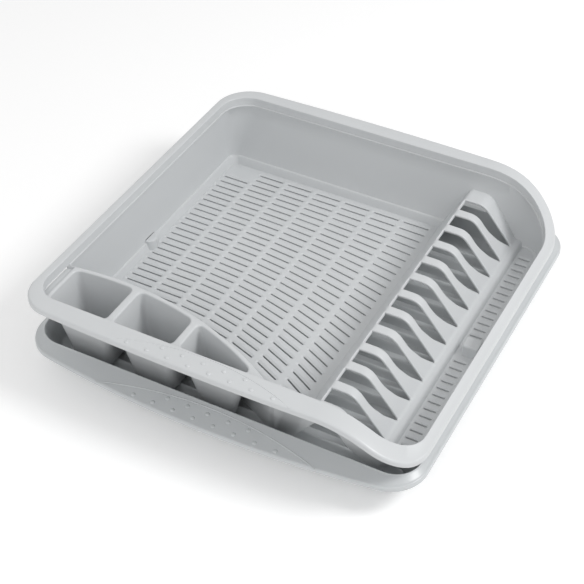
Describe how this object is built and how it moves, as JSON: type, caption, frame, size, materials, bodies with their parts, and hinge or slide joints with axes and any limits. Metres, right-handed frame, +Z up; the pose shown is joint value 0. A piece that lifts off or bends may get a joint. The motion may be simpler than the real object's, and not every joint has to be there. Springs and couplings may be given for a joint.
{
  "type": "dish drainer basket",
  "caption": "Rectangular plastic dish drainer with slotted floor, plate rack, cutlery wells and a side that drops low, standing in a shallow drip tray that it lifts out of.",
  "frame": {"origin": "middle of the footprint, on the surface that the drip tray stands on", "axes": "+Z up; +X along the front from the cutlery wells to the low side; +Y from the front to the back"},
  "size_m": [0.43, 0.4548, 0.1039],
  "materials": {
    "basket_plastic": "light grey, smooth moulded, half gloss",
    "tray_plastic": "light grey, smooth moulded, half gloss"
  },
  "bodies": {
    "drip_tray": {"tray_pan": "tray_plastic", "tray_rim": "tray_plastic", "tray_rim_grips": "tray_plastic"},
    "basket": {"basket_floor": "basket_plastic", "wall_left": "basket_plastic", "wall_back": "basket_plastic", "wall_right": "basket_plastic", "wall_front": "basket_plastic", "rim_left": "basket_plastic", "rim_back": "basket_plastic", "rim_right": "basket_plastic", "rim_front": "basket_plastic", "basket_rim_grips": "basket_plastic", "plate_rack": "basket_plastic", "plate_rib_01": "basket_plastic", "plate_rib_02": "basket_plastic", "plate_rib_03": "basket_plastic", "plate_rib_04": "basket_plastic", "plate_rib_05": "basket_plastic", "plate_rib_06": "basket_plastic", "plate_rib_07": "basket_plastic", "plate_rib_08": "basket_plastic", "plate_rib_09": "basket_plastic", "plate_rib_10": "basket_plastic", "plate_rib_11": "basket_plastic", "side_gutter": "basket_plastic", "cutlery_deck": "basket_plastic", "cutlery_well_left": "basket_plastic", "cutlery_well_middle": "basket_plastic", "cutlery_well_right": "basket_plastic", "locating_lugs": "basket_plastic"}
  },
  "joints": [
    {"name": "basket_lift", "type": "slide", "parent": "drip_tray", "child": "basket", "axis": [0, 0, 1], "range_m": [0, 0.12]}
  ]
}
